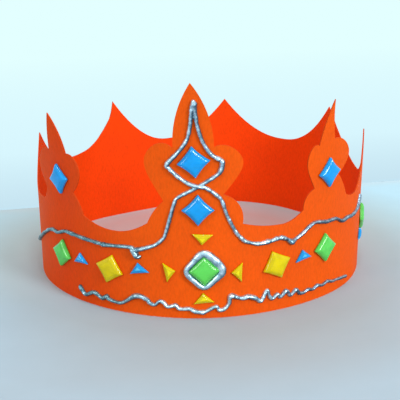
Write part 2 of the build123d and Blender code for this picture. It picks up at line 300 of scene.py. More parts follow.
class Recipe(NodeBench):
    """A material under construction."""

    grain_roughness: float = 0.6
    grain_span: Span = (0.3, 0.7)

    def __init__(self, name: str) -> None:
        """Start a material with only its surface shader.

        Args:
            name: The material's name.
        """
        self.material = bpy.data.materials.new(name)
        self.material.use_nodes = True
        super().__init__(self.material.node_tree)
        self.shader = self.node("BsdfPrincipled")
        self.output = self.node("OutputMaterial", {"Surface": self.shader.outputs["BSDF"]})
        self.place = self.node("TexCoord").outputs["Object"]

    def stretched(self, stretch: Point) -> Socket:
        """Object coordinates with each axis stretched by its factor."""
        return self.node("Mapping", {"Vector": self.place, "Scale": stretch}).outputs["Vector"]

    def grain(self, scale: float, detail: float, place: Socket | None = None) -> Socket:
        """A noise pattern around a half: its grains per metre, finer layers and coordinates."""
        pattern = {"Scale": scale, "Detail": detail, "Roughness": self.grain_roughness}
        return self.node("TexNoise", {"Vector": place or self.place, **pattern}).outputs["Fac"]

    def ramp(self, value: Socket, stops: Stops) -> Socket:
        """Colours chosen by a value.

        Args:
            value: The value read, 0 to 1.
            stops: Positions and their colours, in order.

        Returns:
            The colour.
        """
        ramp = self.node("ValToRGB", {"Fac": value})
        points = ramp.color_ramp.elements
        while len(points) < len(stops):
            points.new(0.5)
        for point, (position, colour) in zip(points, stops):
            point.position = position
            point.color = (*colour, 1)
        return ramp.outputs["Color"]

    def spread(self, grain: Socket, span: Span) -> Socket:
        """A pattern spread from its low places to its high ones."""
        return self.ranged(grain, *self.grain_span, *span)

    def blended(self, kind: Blend, first: Socket, second: Socket) -> Socket:
        """Two colours, one laid over the other."""
        parts = {"Factor": 1, "A": first, "B": second}
        return self.node("Mix", parts, data_type="RGBA", blend_type=kind.value).outputs["Result"]

    def multiply(self, first: Socket, *others: Socket) -> Socket:
        """One colour multiplied by others.

        Args:
            first: The first colour.
            others: The colours that it is multiplied by.

        Returns:
            Their product.
        """
        product = first
        for other in others:
            product = self.blended(Blend.MULTIPLY, product, other)
        return product

    def relief(self, *layers: tuple[Socket, float]) -> None:
        """Bumps on the surface, one pattern on another.

        Args:
            layers: Each pattern with its depth in metres.
        """
        below: Inputs = {}
        for pattern, depth in layers:
            bump = self.node("Bump", {"Height": pattern, "Distance": depth, "Strength": 1, **below})
            below = {"Normal": bump.outputs["Normal"]}
        self.fill(self.shader, below)

    def along(self, value: Socket, way: Point) -> Socket:
        """How far a vector reaches one way: their dot product."""
        dot = self.node("VectorMath", {0: value, 1: way}, operation="DOT_PRODUCT")
        return dot.outputs["Value"]

    def facing(self, way: Point) -> Socket:
        """How far the surface faces one way, from 0, facing away, to 1, facing it."""
        normal = self.node("NewGeometry").outputs["Normal"]
        return self.ranged(self.along(normal, Vector(way).normalized()), -1.0, 1.0)

    def across(self, span: Span) -> Socket:
        """How far a point lies from left to right, 0 to 1 over a span in metres."""
        split = self.node("SeparateXYZ", {"Vector": self.place})
        return self.ranged(split.outputs["X"], *span)

    def from_middle(self, reach: float) -> Socket:
        """How far a point lies from the origin, 0 to 1 over a reach in metres."""
        length = self.node("VectorMath", {0: self.place}, operation="LENGTH")
        return self.ranged(length.outputs["Value"], 0.0, reach)


@dataclass(frozen=True)
class CardFinish:
    """Matt dyed card: fine fibres, slight mottling, a soft tooth and painted shade that changes
    from left to right.
    """

    name: str
    colour: Colour
    tones_and_painted_shade: Stops = ()
    painted_shade_span: Span = (-0.09, 0.09)
    contrast: float = 0.06
    faded: Colour = (0.94, 0.9, 0.9)
    depth: float = 0.00004
    tooth_share: float = 1 / 3
    fibre_scale: float = 1400.0
    fibre_stretch: Point = (1.0, 1.0, 0.35)
    tooth_scale: float = 5200.0
    cloud_scale: float = 38.0
    roughness: Span = (0.62, 0.78)
    shine: float = 0.12

    def material(self) -> Material:
        """Make the material.

        Returns:
            The finished material.
        """
        recipe = Recipe(self.name)
        pale = scaled(self.colour, 1 + self.contrast)
        deep = scaled(self.colour, 1 - 2 * self.contrast)
        drawn = recipe.stretched(self.fibre_stretch)
        fibres = recipe.grain(self.fibre_scale, detail=5, place=drawn)
        tooth = recipe.grain(self.tooth_scale, detail=3)
        cloud = recipe.grain(self.cloud_scale, detail=3)
        dyed = recipe.ramp(fibres, ((0.3, deep), (0.55, self.colour), (0.75, pale)))
        toned = recipe.multiply(dyed, recipe.ramp(cloud, ((0.3, self.faded), (0.7, WHITE))))
        # Painted shade: the colour is multiplied deeper and redder towards the left, where the card
        # lies in shade.
        if self.tones_and_painted_shade:
            painted_shade = recipe.ramp(recipe.across(self.painted_shade_span), self.tones_and_painted_shade)
            toned = recipe.multiply(toned, painted_shade)
        recipe.relief((fibres, self.depth), (tooth, self.depth * self.tooth_share))
        surface = {
            "Base Color": toned,
            "Roughness": recipe.spread(cloud, self.roughness),
            "Specular IOR Level": self.shine,
        }
        recipe.fill(recipe.shader, surface)
        return recipe.material


@dataclass(frozen=True)
class SilverFinish:
    """Dried silver relief paint: metallic and lumpy, with painted shade below, painted shade
    towards the ends and painted glints.
    """

    name: str = "silver_relief_paint"
    pale: Colour = shade(212, 239, 254)
    deep: Colour = shade(130, 170, 192)
    # Colour of the painted shade on the undersides of the lines.
    painted_shade_below: Colour = shade(104, 124, 138)
    shaded_left: Colour = shade(138, 164, 164)
    shaded_right: Colour = shade(184, 179, 187)
    # Colour of the painted glints.
    speck_glint: Colour = (0.62, 0.68, 0.7)
    lit_side: Point = (-0.65, -0.2, 0.73)
    shaded_span: Span = (-0.08, 0.08)
    lump_scale: float = 420.0
    lump_depth: float = 0.00016
    flake_scale: float = 4200.0
    flake_depth: float = 0.000012
    speck_scale: float = 1300.0
    roughness: Span = (0.2, 0.36)
    metal: float = 0.7

    def material(self) -> Material:
        """Make the material.

        Returns:
            The finished material.
        """
        recipe = Recipe(self.name)
        lumps = recipe.grain(self.lump_scale, detail=3)
        flakes = recipe.grain(self.flake_scale, detail=2)
        tint = recipe.ramp(lumps, ((0.34, self.deep), (0.6, self.pale)))
        # Painted shade: the colour darkens where the surface faces away from the lit side, on the
        # undersides.
        upward = recipe.ramp(recipe.facing(self.lit_side), ((0.32, self.painted_shade_below), (0.62, WHITE)))
        # Painted shade at the ends: darker at the left, which lies in shade, and at the right,
        # where it dims the lamp's highlight.
        ends = recipe.ramp(
            recipe.across(self.shaded_span),
            ((0.28, self.shaded_left), (0.42, WHITE), (0.7, WHITE), (0.8, self.shaded_right)),
        )
        # Painted glints: pale flecks screened over the colour, as small highlights on the paint.
        flecks = recipe.grain(self.speck_scale, detail=2)
        painted_glints = recipe.ramp(flecks, ((0.53, BLACK), (0.62, self.speck_glint)))
        glinted = recipe.blended(Blend.SCREEN, ends, painted_glints)
        recipe.relief((lumps, self.lump_depth), (flakes, self.flake_depth))
        surface = {
            "Base Color": recipe.multiply(tint, upward, glinted),
            "Roughness": recipe.spread(flakes, self.roughness),
            "Metallic": self.metal,
        }
        recipe.fill(recipe.shader, surface)
        return recipe.material


@dataclass(frozen=True)
class GemFinish:
    """Glossy coloured plastic with a faint cloudiness and fine scuffs, a deeper shoulder as painted
    shade and a paler chip table as painted highlight.
    """

    name: str
    colour: Colour
    # Paler colour of a chip's small table, a painted highlight.
    chip_glint: Colour | None = None
    gloss: float = 0.35
    # How much deeper the shoulder is painted, as painted shade.
    shoulder_shade_share: float = 0.91
    cloud_share: float = 0.84
    cloud_scale: float = 260.0
    cloud_depth: float = 0.00003
    scuff_scale: float = 2600.0
    scuff_stretch: Point = (1.0, 3.0, 1.0)
    roughness: Span = (0.06, 0.16)
    coat: float = 0.15
    coat_roughness: float = 0.05

    def table(self) -> Material:
        """Make the material of a gem's flat table."""
        return self.tinted(self.name, self.colour)

    def shoulder(self) -> Material:
        """Make the deeper copy of the material for the shoulder round the table, its painted shade.
        """
        return self.tinted(f"{self.name}_shoulder", scaled(self.colour, self.shoulder_shade_share))

    def chip_glint_table(self) -> Material:
        """Make the paler material of a triangular chip's small table, a painted highlight."""
        return self.tinted(f"{self.name}_chip_glint_table", self.chip_glint or self.colour)

    def tinted(self, name: str, full: Colour) -> Material:
        """Make the plastic in one colour.

        Args:
            name: The material's name.
            full: The colour where it isn't clouded.

        Returns:
            The finished material.
        """
        recipe = Recipe(name)
        cloud = recipe.grain(self.cloud_scale, detail=3)
        drawn = recipe.stretched(self.scuff_stretch)
        scuffs = recipe.grain(self.scuff_scale, detail=4, place=drawn)
        clouded = scaled(full, self.cloud_share)
        recipe.relief((cloud, self.cloud_depth))
        surface = {
            "Base Color": recipe.ramp(cloud, ((0.3, clouded), (0.6, full))),
            "Roughness": recipe.spread(scuffs, self.roughness),
            "Specular IOR Level": self.gloss,
            "Coat Weight": self.coat,
            "Coat Roughness": self.coat_roughness,
        }
        recipe.fill(recipe.shader, surface)
        return recipe.material


@dataclass(frozen=True)
class TableFinish:
    """Pale table top: greyer in front as the crown's painted shadow, paler past a line behind the
    crown, with painted pink bounce light under the ring and painted shade round it.
    """

    name: str = "pale_table"
    line_left: Span = (-0.108, 0.070)
    line_right: Span = (0.120, 0.130)
    before: float = 0.25
    beyond: float = 0.75
    backdrop_start: float = 0.251
    # Tones from front to back; the first, greyer just in front of the crown, is painted shadow.
    tones_and_painted_shade: Stops = (
        (0.03, shade(168, 193, 208)),
        (0.1, shade(170, 210, 234)),
        (0.18, shade(184, 232, 252)),
        (0.24, shade(188, 234, 254)),
        (0.256, shade(199, 228, 241)),
        (0.4, shade(216, 246, 254)),
        (1.0, shade(227, 255, 255)),
    )
    mottle: Colour = (0.975, 0.975, 0.975)
    mottle_scale: float = 60.0
    painted_bounce_reach: float = 0.2
    # Painted light from the card: pink bounce light under the ring, then a warm grey painted shade
    # just round it.
    painted_bounce_and_shade: Stops = (
        (0.33, (1.1, 0.58, 0.49)),
        (0.42, (0.96, 0.78, 0.7)),
        (0.52, (0.92, 0.78, 0.7)),
        (0.8, WHITE),
    )
    roughness: float = 0.75
    shine: float = 0.1

    def material(self) -> Material:
        """Make the material.

        Returns:
            The finished material.
        """
        recipe = Recipe(self.name)
        start, end = Vector(self.line_left), Vector(self.line_right)
        line = (end - start).normalized()
        away = (-line.y, line.x, 0.0)
        offset = start.x * away[0] + start.y * away[1]
        limits = (offset - self.before, offset + self.beyond)
        depth = recipe.ranged(recipe.along(recipe.place, away), *limits)
        tones_and_painted_shade = recipe.ramp(depth, self.tones_and_painted_shade)
        cloud = recipe.grain(self.mottle_scale, detail=3)
        mottle = recipe.ramp(cloud, ((0.3, self.mottle), (0.7, WHITE)))
        painted_bounce = recipe.ramp(recipe.from_middle(self.painted_bounce_reach), self.painted_bounce_and_shade)
        surface = {
            "Base Color": recipe.multiply(tones_and_painted_shade, mottle, painted_bounce),
            "Roughness": self.roughness,
            "Specular IOR Level": self.shine,
        }
        recipe.fill(recipe.shader, surface)
        behind = recipe.sum_of(Sum.IS_MORE, depth, self.backdrop_start)
        seen = recipe.sum_of(Sum.PRODUCT, behind, recipe.backdrop_rays())
        plain = recipe.node("Emission", {"Color": tones_and_painted_shade}).outputs["Emission"]
        both = recipe.mixed(seen, recipe.shader.outputs["BSDF"], plain)
        recipe.fill(recipe.output, {"Surface": both})
        return recipe.material


@dataclass
class CardFace:
    """The card's outer face, on which a turn and a height find a point.

    The ring is measured on the card's node, just above its rim.
    """

    card: Object
    lap_turn: float = 187.0
    lap: float = 25.0 * 360 / GIRTH
    thickness: float = 0.5 * MM
    flare_start: float = 36.0 * MM
    flare_end: float = 106.0 * MM
    flare_out: float = 5.0 * MM
    rays: int = 1440
    ray_start: float = 0.3
    gauge_height: float = 2.0 * MM
    tangent_reach: float = 2.0
    ring: list[Vector] = field(init=False)
    lengths: list[float] = field(init=False)

    def __post_init__(self) -> None:
        """Measure the ring."""
        mesh = self.card.data
        tree = BVHTree.FromPolygons(
            [vertex.co for vertex in mesh.vertices], [face.vertices for face in mesh.polygons]
        )
        self.ring = []
        for step in range(self.rays):
            angle = 2 * math.pi * step / self.rays
            out = Vector((math.sin(angle), -math.cos(angle), 0))
            start = out * self.ray_start + Vector((0, 0, self.gauge_height))
            hit = tree.ray_cast(start, -out)[0]
            self.ring.append(Vector((hit.x, hit.y, 0)) - out * self.lap_step(math.degrees(angle)))
        self.ring.append(self.ring[0].copy())
        self.lengths = [0.0]
        for first, second in zip(self.ring, self.ring[1:]):
            self.lengths.append(self.lengths[-1] + (second - first).length)

    def lap_step(self, turn: float) -> float:
        """How far the strip has wound outward at a turn in degrees, in metres."""
        wound = self.lap + (turn - self.lap_turn - self.lap) % 360
        return self.thickness * wound / 360

    def rim_point(self, turn: float) -> Vector:
        """The ring's point at a turn, before the strip's winding is added.

        Args:
            turn: Degrees round the ring.

        Returns:
            The point, at height 0.
        """
        length = turn % 360 / 360 * self.lengths[-1]
        index = min(bisect_right(self.lengths, length), len(self.ring) - 1)
        start, end = self.lengths[index - 1], self.lengths[index]
        return self.ring[index - 1].lerp(self.ring[index], (length - start) / (end - start))

    def turn_of(self, point: Vector) -> float:
        """The turn at which a point lies.

        Args:
            point: A point on the card.

        Returns:
            Degrees round the ring, 0 to 360.
        """
        place = math.degrees(math.atan2(point.x, -point.y)) % 360 / 360 * self.rays
        index = int(place)
        start, end = self.lengths[index], self.lengths[index + 1]
        return (start + (end - start) * (place - index)) / self.lengths[-1] * 360

    def out(self, turn: float) -> Vector:
        """Direction straight out of the ring.

        Args:
            turn: Degrees round the ring.

        Returns:
            A level unit vector.
        """
        reach = self.tangent_reach
        along = self.rim_point(turn + reach) - self.rim_point(turn - reach)
        return Vector((along.y, -along.x, 0)).normalized()

    def normal(self, turn: float, height: float) -> Vector:
        """Direction out of the card's face, which leans out above.

        Args:
            turn: Degrees round the ring.
            height: Height in metres.

        Returns:
            A unit vector.
        """
        reach = self.flare_end - self.flare_start
        slope = 2 * self.flare_out * max(0.0, height - self.flare_start) / reach**2
        return (self.out(turn) - Vector((0, 0, slope))).normalized()

    def point(self, turn: float, height: float, lift: float = 0.0) -> Vector:
        """A point on the face, or off it.

        Args:
            turn: Degrees round the ring.
            height: Height in metres.
            lift: Distance off the face in metres.

        Returns:
            The point.
        """
        reach = self.flare_end - self.flare_start
        flare = self.flare_out * (max(0.0, height - self.flare_start) / reach) ** 2
        base = self.rim_point(turn) + self.out(turn) * (flare + self.lap_step(turn % 360))
        return base + Vector((0, 0, height)) + self.normal(turn, height) * lift


@dataclass(frozen=True)
class SteepFlank:
    """A spike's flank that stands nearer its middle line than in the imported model.

    Turns are in degrees and heights in millimetres.
    """

    middle: float = 222.74
    foot: float = 243.8
    heights: tuple[float, ...] = (42.6, 44.3, 48.9, 52.5, 56.8, 60.2, 64.5, 70.2)
    shares: tuple[float, ...] = (1.0, 0.868, 0.774, 0.734, 0.627, 0.49, 0.4, 0.4)

    def share(self, height: float) -> float:
        """How near the middle line the flank stands at a height.

        Args:
            height: Height in millimetres.

        Returns:
            Its distance from the middle line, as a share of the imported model's.
        """
        if height <= self.heights[0]:
            return self.shares[0]
        index = min(bisect_right(self.heights, height), len(self.heights) - 1)
        start, end = self.heights[index - 1], self.heights[index]
        along = min(1.0, (height - start) / (end - start))
        return self.shares[index - 1] + (self.shares[index] - self.shares[index - 1]) * along


@dataclass(frozen=True)
class LeanIn:
    """A spike whose tip leans in over the ring. Turns are in degrees, lengths in millimetres."""

    turns: Span = (60.5, 92.0)
    foot: float = 45.0
    tip: float = 71.5
    reach: float = 1.2

    def shift(self, height: float) -> float:
        """How far the spike leans in at a height, both in millimetres."""
        return self.reach * (max(0.0, height - self.foot) / (self.tip - self.foot)) ** 2


@dataclass
class CardSheet:
    """The cut card itself: dyed outer face, an inner face in a deeper, redder copy that paints its
    shade and orange bounce light, and rougher cut edges.
    """

    name: str = "card_sheet"
    node: str = "card_crown"
    merge_distance: float = 0.000002
    crease: float = 25.0
    edge_cosine: float = 0.5
    flank: SteepFlank = SteepFlank()
    lean: LeanIn = LeanIn()
    outer: CardFinish = CardFinish(
        "orange_card",
        shade(241, 91, 6),
        # Painted shade: deeper and redder towards the card's left end, browner at its very edge.
        tones_and_painted_shade=(
            (0.04, (0.97, 1.0, 0.8)),
            (0.1, (0.96, 0.75, 0.6)),
            (0.16, (0.97, 0.64, 0.6)),
            (0.26, (0.98, 0.78, 0.7)),
            (0.36, WHITE),
        ),
    )
    # Inner face: the same card painted deeper and redder for its shade and bounce light, darker
    # still at the far left as more painted shade.
    inner: CardFinish = CardFinish(
        "orange_card_inside_painted_shade", shade(250, 73, 0), tones_and_painted_shade=((0.05, (0.76, 0.84, 0.8)), (0.14, WHITE))
    )
    edge: CardFinish = CardFinish("cut_card_edge", shade(210, 72, 14), depth=0.00006, contrast=0.12)

    def build(self, nodes: dict[str, Object], face: CardFace) -> None:
        """Copy the card's form, close its joints, fit two spikes and dress it.

        Args:
            nodes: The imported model's nodes.
            face: The card's outer face.
        """
        piece = placed(self.name, nodes[self.node].data.copy())
        with edited(piece):
            bpy.ops.mesh.customdata_custom_splitnormals_clear()
            bpy.ops.mesh.remove_doubles(threshold=self.merge_distance)
        self.fit_spikes(piece, face)
        bpy.ops.object.shade_smooth_by_angle(angle=math.radians(self.crease))
        self.dress(piece)
        finish_piece(piece, self.node)

    def fit_spikes(self, piece: Object, face: CardFace) -> None:
        """Cut the left back spike's flank steeper and lean the right spike in.

        Args:
            piece: The card.
            face: The card's outer face.
        """
        middle = self.flank.middle
        for vertex in piece.data.vertices:
            turn, height = face.turn_of(vertex.co), vertex.co.z
            if middle < turn < self.flank.foot:
                nearer = middle + (turn - middle) * self.flank.share(height / MM)
                vertex.co += face.point(nearer, height) - face.point(turn, height)
            elif self.lean.turns[0] < turn < self.lean.turns[1]:
                vertex.co -= face.out(turn) * self.lean.shift(height / MM) * MM

    def dress(self, piece: Object) -> None:
        """Give the outer face, the inner face and the cut edges a material each.

        Args:
            piece: The card.
        """
        dress(piece, self.outer.material(), self.inner.material(), self.edge.material())
        for polygon in piece.data.polygons:
            across = Vector((polygon.center.x, polygon.center.y, 0)).normalized()
            facing = polygon.normal.dot(across)
            side = CardSide.OUTER if facing > 0 else CardSide.INNER
            if abs(facing) < self.edge_cosine:
                side = CardSide.EDGE
            polygon.material_index = side.value


@dataclass(frozen=True)
class FlatGem(ABC):
    """A flat-backed moulded gem: upright girdle, curved shoulder and a flat table."""

    name: str
    side: float
    girdle: float
    bevel_width: float
    bevel_height: float
    pinch: float
    rounding: float
    steps: int = 6
    shoulder: tuple[float, ...] = (25.0, 40.0, 54.0, 67.0, 80.0)
    soft_angle: float = 35.0
    soft_steps: int = 2
    crease: float = 40.0
    table_cosine: float = 0.999
    way_steps: int = 50

    @abstractmethod
    def corners(self) -> list[Vector]:
        """Corners of the outline, anticlockwise from the one on the gem's X or Y axis."""

    @abstractmethod
    def inner_radius(self) -> float:
        """Distance from the middle of the outline to its sides, in metres."""

    @abstractmethod
    def axes(self, spots: list[Vector], centre: Vector, outward: Vector) -> tuple[Vector, Vector]:
        """Where the gem's X and Y axes go on a node.

        Args:
            spots: The corners of the node's back.
            centre: The middle of the node's back.
            outward: The way that the gem faces.

        Returns:
            The two axes.
        """

    def mould(self) -> Object:
        """Model the gem at the origin, its flat back on Z = 0.

        Returns:
            The gem.
        """
        corners = self.corners()
        count = len(corners) * self.steps
        bpy.ops.mesh.primitive_circle_add(vertices=count, radius=self.side, fill_type="NGON")
        gem = bpy.context.active_object
        gem.name = self.name
        for index, vertex in enumerate(gem.data.vertices):
            start = corners[index // self.steps]
            end = corners[(index // self.steps + 1) % len(corners)]
            share = index % self.steps / self.steps
            inward = -(start + end).normalized()
            bow = inward * self.pinch * math.sin(math.pi * share)
            vertex.co = start.lerp(end, share) + bow
        with edited(gem):
            self.lift_top(self.girdle)
            self.raise_shoulder()
            bpy.ops.mesh.select_all(action="SELECT")
            bpy.ops.mesh.normals_make_consistent(inside=False)
        limit = {"limit_method": "ANGLE", "angle_limit": math.radians(self.soft_angle)}
        modify(gem, "BEVEL", width=self.rounding, segments=self.soft_steps, **limit)
        bpy.ops.object.shade_smooth_by_angle(angle=math.radians(self.crease))
        return gem

    def lift_top(self, rise: float) -> None:
        """Extrude the selected top straight up, by a rise in metres."""
        bpy.ops.mesh.extrude_region_move(TRANSFORM_OT_translate={"value": (0, 0, rise)})

    def raise_shoulder(self) -> None:
        """Extrude the selected top in small steps that lean further in, up to the table."""
        turns = [math.radians(turn) for turn in self.shoulder]
        first, last = turns[0], turns[-1]
        across = self.bevel_width / (math.cos(first) - math.cos(last))
        upward = self.bevel_height / (math.sin(last) - math.sin(first))
        share = 1.0
        for before, turn in zip(turns, turns[1:]):
            self.lift_top(upward * (math.sin(turn) - math.sin(before)))
            inset = across * (math.cos(first) - math.cos(turn))
            target = 1 - inset / self.inner_radius()
            bpy.ops.transform.resize(value=(target / share, target / share, 1))
            share = target

    def dress(self, gem: Object, table: Material, shoulder: Material) -> None:
        """Give the table and the shoulder round it a material each, before the gem is seated.

        Args:
            gem: The gem, still at the origin.
            table: The table's material.
            shoulder: The shoulder's material.
        """
        dress(gem, table, shoulder)
        for polygon in gem.data.polygons:
            polygon.material_index = int(polygon.normal.z < self.table_cosine)

    def back_faces(self, mesh: Mesh) -> list[MeshPolygon]:
        """Faces of a node's flat back, the side with the largest area.

        Args:
            mesh: The node's mesh.

        Returns:
            The faces.
        """
        sides: dict[tuple[int, ...], list[MeshPolygon]] = {}
        for polygon in mesh.polygons:
            way = tuple(round(part * self.way_steps) for part in polygon.normal)
            sides.setdefault(way, []).append(polygon)
        return max(sides.values(), key=lambda faces: sum(polygon.area for polygon in faces))

    def seat(self, node: Object) -> Matrix:
        """Where a gem's node sits: its flat back, its outward side and how it is turned.

        Args:
            node: The gem's node.

        Returns:
            The matrix from the moulded gem to its place.
        """
        backs = self.back_faces(node.data)
        total = sum(polygon.area for polygon in backs)
        centre = sum((polygon.center * polygon.area for polygon in backs), Vector()) / total
        inward = sum((polygon.normal * polygon.area for polygon in backs), Vector()).normalized()
        spots = [node.data.vertices[index].co for polygon in backs for index in polygon.vertices]
        x_axis, y_axis = self.axes(spots, centre, -inward)
        turned = Matrix((x_axis, y_axis, -inward)).transposed().to_4x4()
        return Matrix.Translation(centre) @ turned


@dataclass(frozen=True)
class SquareGem(FlatGem):
    """A square gem that stands on a corner."""

    name: str = "square_gem_pattern"
    side: float = 10.0 * MM
    girdle: float = 0.9 * MM
    bevel_width: float = 1.9 * MM
    bevel_height: float = 1.3 * MM
    pinch: float = 0.16 * MM
    rounding: float = 0.2 * MM

    def corners(self) -> list[Vector]:
        """Corners of the square, anticlockwise from the one on the X axis.

        Returns:
            The corners.
        """
        reach = self.side / math.sqrt(2)
        ways = ((1, 0), (0, 1), (-1, 0), (0, -1))
        return [Vector((x * reach, y * reach, 0)) for x, y in ways]

    def inner_radius(self) -> float:
        """Distance from the middle of the square to its sides, in metres."""
        return self.side / 2

    def axes(self, spots: list[Vector], centre: Vector, outward: Vector) -> tuple[Vector, Vector]:
        """Where the gem's X and Y axes go: X points to the highest corner."""
        across = (max(spots, key=lambda spot: spot.z) - centre).normalized()
        return across, outward.cross(across)


@dataclass(frozen=True)
class TriangularChip(FlatGem):
    """A flat triangular chip, wider than it is high."""

    name: str = "chip_pattern"
    side: float = 9.2 * MM
    girdle: float = 0.6 * MM
    bevel_width: float = 1.35 * MM
    bevel_height: float = 0.9 * MM
    pinch: float = 0.06 * MM
    rounding: float = 0.12 * MM
    rise: float = 4.9 * MM

    def corners(self) -> list[Vector]:
        """Corners of the triangle, anticlockwise from the apex on the Y axis.

        Returns:
            The corners.
        """
        foot = -self.rise / 3
        return [
            Vector((0, self.rise * 2 / 3, 0)),
            Vector((-self.side / 2, foot, 0)),
            Vector((self.side / 2, foot, 0)),
        ]

    def inner_radius(self) -> float:
        """Distance from the middle of the triangle to its sides, in metres."""
        slant = math.hypot(self.side / 2, self.rise)
        return self.side * self.rise / (self.side + 2 * slant)

    def axes(self, spots: list[Vector], centre: Vector, outward: Vector) -> tuple[Vector, Vector]:
        """Where the chip's X and Y axes go: Y points to the apex, the corner nearest the middle."""
        upward = (min(spots, key=lambda spot: (spot - centre).length) - centre).normalized()
        return upward.cross(outward), upward


# Chip tables get a paler colour as a painted highlight.
GEM_FINISHES = {
    Stone.BLUE: GemFinish("blue_plastic", shade(4, 160, 242), chip_glint=shade(84, 200, 255)),
    Stone.GREEN: GemFinish("green_plastic", shade(96, 218, 90)),
    Stone.YELLOW: GemFinish(
        "yellow_plastic", shade(226, 208, 0), chip_glint=shade(240, 232, 20), gloss=0.2
    ),
}


@dataclass
class GemSet:
    """All the gems, each moulded once by shape and copied to its places."""

    square: SquareGem = SquareGem()
    pinched: SquareGem = SquareGem(name="pinched_gem_pattern", pinch=0.4 * MM)
    chip: TriangularChip = TriangularChip()
    finishes: dict[Stone, GemFinish] = field(default_factory=GEM_FINISHES.copy)

    def gem_for(self, stone: Stone, outline: Outline) -> FlatGem:
        """The gem of one colour and outline. Blue squares have more hollow sides.

        Args:
            stone: The gem's colour.
            outline: The gem's outline.

        Returns:
            The gem to mould.
        """
        if outline is Outline.TRIANGLE:
            return self.chip
        return self.pinched if stone is Stone.BLUE else self.square

    def build(self, nodes: dict[str, Object]) -> None:
        """Place a gem on each gem node.

        Args:
            nodes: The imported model's nodes.
        """
        tables: dict[tuple[Stone, Outline], Material] = {}
        shaded_shoulders: dict[Stone, Material] = {}
        for stone, finish in self.finishes.items():
            tables[stone, Outline.SQUARE] = finish.table()
            shaded_shoulders[stone] = finish.shoulder()
            if finish.chip_glint:
                tables[stone, Outline.TRIANGLE] = finish.chip_glint_table()
        gems = (self.square, self.pinched, self.chip)
        patterns = {gem.name: gem.mould() for gem in gems}
        outlines = {outline.value: outline for outline in Outline}
        for node_name, node in nodes.items():
            colour, kind = node_name.split("_")[:2]
            if kind not in outlines:
                continue
            stone, outline = Stone(f"{colour}_gem"), outlines[kind]
            gem = self.gem_for(stone, outline)
            piece = placed(f"cut_{node_name}", patterns[gem.name].data.copy())
            gem.dress(piece, tables[stone, outline], shaded_shoulders[stone])
            piece.data.transform(gem.seat(node))
            finish_piece(piece, node_name)
        for pattern in patterns.values():
            bpy.data.objects.remove(pattern)


@dataclass(frozen=True)
class Place:
    """A place along a silver line: turn, height, swell, and lift off the card in millimetres."""

    turn: float
    height: float
    swell: float = 1.0
    lift: float = 0.0


@dataclass(kw_only=True)
class SilverLine:
    """A line of silver paint squeezed from a tube: lumpy, half round, flat against the card."""

    name: str
    node: str
    height: float
    sink: float
    voxel: float
    lumpiness: float
    lump_scale: float
    dome_points: int = 12
    dome_power: float = 0.85
    relax_share: float = 0.5
    relax_rounds: int = 3

    def section(
        self, middle: Vector, across: Vector, up: Vector, width: float, height: float
    ) -> list[Vector]:
        """The line's half-round section.

        Args:
            middle: The middle of its flat back.
            across: Unit vector across the line.
            up: Unit vector off the card.
            width: The section's width.
            height: The section's height.

        Returns:
            The section's points, the two of its sunken back first.
        """
        points = [middle + across * (side * width / 2) - up * self.sink for side in (1, -1)]
        for step in range(self.dome_points + 1):
            angle = math.pi * (1 - step / self.dome_points)
            crest = up * (math.sin(angle) ** self.dome_power * height)
            points.append(middle + across * (math.cos(angle) * width / 2) + crest)
        return points

    def finish(self, tubes: list[Object], material: Material) -> None:
        """Let the tubes run together, as wet paint does, and dress the line.

        Args:
            tubes: The line's closed tubes.
            material: The silver paint.
        """
        bpy.ops.object.select_all(action="DESELECT")
        for tube in tubes:
            tube.select_set(True)
        bpy.context.view_layer.objects.active = tubes[0]
        if len(tubes) > 1:
            bpy.ops.object.join()
        piece = bpy.context.active_object
        piece.name = self.name
        piece.data.remesh_voxel_size = self.voxel
        bpy.ops.object.voxel_remesh()
        modify(piece, "SMOOTH", factor=self.relax_share, iterations=self.relax_rounds)
        bpy.ops.object.shade_smooth()
        dress(piece, material)
        finish_piece(piece, self.node)


@dataclass(kw_only=True)
class PaintBead(SilverLine):
    """A silver line along the card, of one or more strands."""

    strands: list[list[Place]]
    width: float = 1.75 * MM
    height: float = 1.35 * MM
    sink: float = 0.12 * MM
    voxel: float = 0.00022
    lumpiness: float = 0.22
    lump_scale: float = 420.0
    ripple_scale: float = 1100.0
    ripple_share: float = 0.6
    step: float = 0.5

    def walk(self, strand: list[Place]) -> list[Place]:
        """Close-set places on a smooth line through a strand's places.

        Args:
            strand: The strand's places.

        Returns:
            Places about one step apart.
        """
        chain = [strand[0], *strand, strand[-1]]
        spots = []
        for before, start, end, after in zip(chain, chain[1:], chain[2:], chain[3:]):
            run = math.hypot((end.turn - start.turn) * GIRTH / 360, end.height - start.height)
            count = max(2, math.ceil(run / self.step))
            for index in range(count):
                share = index / count
                spots.append(
                    Place(
                        turn=curve(before.turn, start.turn, end.turn, after.turn, share),
                        height=curve(before.height, start.height, end.height, after.height, share),
                        swell=start.swell + (end.swell - start.swell) * share,
                        lift=start.lift + (end.lift - start.lift) * share,
                    )
                )
        return [*spots, strand[-1]]

    def swept(self, strand: list[Place], face: CardFace) -> Object:
        """Sweep one strand's section along the card.

        Args:
            strand: The strand's places.
            face: The card's outer face.

        Returns:
            A closed tube, flat-backed.
        """
        spots = self.walk(strand)
        points = [face.point(spot.turn, spot.height * MM, spot.lift * MM) for spot in spots]
        rings: list[list[Vector]] = []
        for index, (spot, point) in enumerate(zip(spots, points)):
            ahead = points[min(index + 1, len(points) - 1)] - points[max(index - 1, 0)]
            up = face.normal(spot.turn, spot.height * MM)
            across = ahead.cross(up).normalized()
            ripple = self.ripple_share * noise.noise(point * self.ripple_scale)
            lump = noise.noise(point * self.lump_scale) + ripple
            size = spot.swell * (1 + self.lumpiness * lump)
            rings.append(self.section(point, across, up, self.width * size, self.height * size))
        return solid_of_rings(f"{self.name}_strand", rings)

    def build(self, face: CardFace, material: Material) -> None:
        """Sweep the strands, fuse them into one and dress it.

        Args:
            face: The card's outer face.
            material: The silver paint.
        """
        self.finish([self.swept(strand, face) for strand in self.strands], material)


